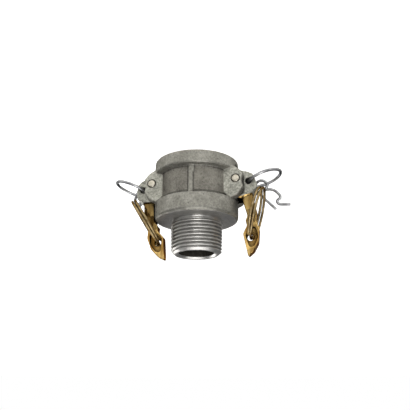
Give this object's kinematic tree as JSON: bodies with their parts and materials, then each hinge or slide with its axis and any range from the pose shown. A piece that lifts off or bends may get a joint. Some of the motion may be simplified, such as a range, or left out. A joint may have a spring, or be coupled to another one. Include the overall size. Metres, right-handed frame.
{
  "type": "cam and groove coupler with male pipe thread",
  "caption": "Cast cam lever coupler with a rubber gasket socket, two locking arms with pull rings and safety clips, and a tapered male pipe thread.",
  "frame": {"origin": "centre of the socket's mouth, on the pipe axis, in the plane of the flat rim that the coupler stands on", "axes": "+Z along the pipe axis towards the thread, +X through the right arm, pivot pins along Y"},
  "size_m": [0.1157, 0.0628, 0.0635],
  "materials": {
    "cast_aluminium": "sand cast",
    "nitrile": "moulded",
    "brass": "polished",
    "steel_wire": "drawn bright",
    "pin_steel": "ground"
  },
  "bodies": {
    "coupler": {"body": "cast_aluminium", "gasket": "nitrile", "right_pivot_pin": "pin_steel", "left_pivot_pin": "pin_steel"},
    "right_lever": {"right_arm": "brass"},
    "right_pull": {"right_pull_ring": "brass"},
    "right_clip_loop": {"right_clip_ring": "steel_wire"},
    "right_clip": {"right_safety_clip": "steel_wire"},
    "left_lever": {"left_arm": "brass"},
    "left_pull": {"left_pull_ring": "brass"},
    "left_clip_loop": {"left_clip_ring": "steel_wire"},
    "left_clip": {"left_safety_clip": "steel_wire"}
  },
  "joints": [
    {"name": "right_arm_opens", "type": "hinge", "parent": "coupler", "child": "right_lever", "pos_m": [0.0273, 0, 0.0155], "axis": [0, 1, 0], "range_deg": [0, 80]},
    {"name": "right_pull_ring_swings", "type": "hinge", "parent": "right_lever", "child": "right_pull", "pos_m": [0.0252, 0, 0.0524], "axis": [0, -1, 0], "range_deg": [0, 150]},
    {"name": "right_clip_ring_swings", "type": "hinge", "parent": "right_lever", "child": "right_clip_loop", "pos_m": [0.0346, 0, 0.0174], "axis": [0, -1, 0], "range_deg": [-45, 25]},
    {"name": "right_safety_clip_swings", "type": "hinge", "parent": "right_clip_loop", "child": "right_clip", "pos_m": [0.04445, 0.01119, 0.01434], "axis": [0.9367, 0, -0.3502], "range_deg": [-20, 20]},
    {"name": "left_arm_opens", "type": "hinge", "parent": "coupler", "child": "left_lever", "pos_m": [-0.0273, 0, 0.0155], "axis": [0, -1, 0], "range_deg": [-15, 70]},
    {"name": "left_pull_ring_swings", "type": "hinge", "parent": "left_lever", "child": "left_pull", "pos_m": [-0.03482, 0, 0.05169], "axis": [0, 1, 0], "range_deg": [0, 150]},
    {"name": "left_clip_ring_swings", "type": "hinge", "parent": "left_lever", "child": "left_clip_loop", "pos_m": [-0.03484, 0, 0.01545], "axis": [0, 1, 0], "range_deg": [-45, 8]},
    {"name": "left_safety_clip_swings", "type": "hinge", "parent": "left_clip_loop", "child": "left_clip", "pos_m": [-0.04097, 0.01052, 0.01339], "axis": [-0.8911, 0.342, -0.2982], "range_deg": [-3, 20]}
  ]
}
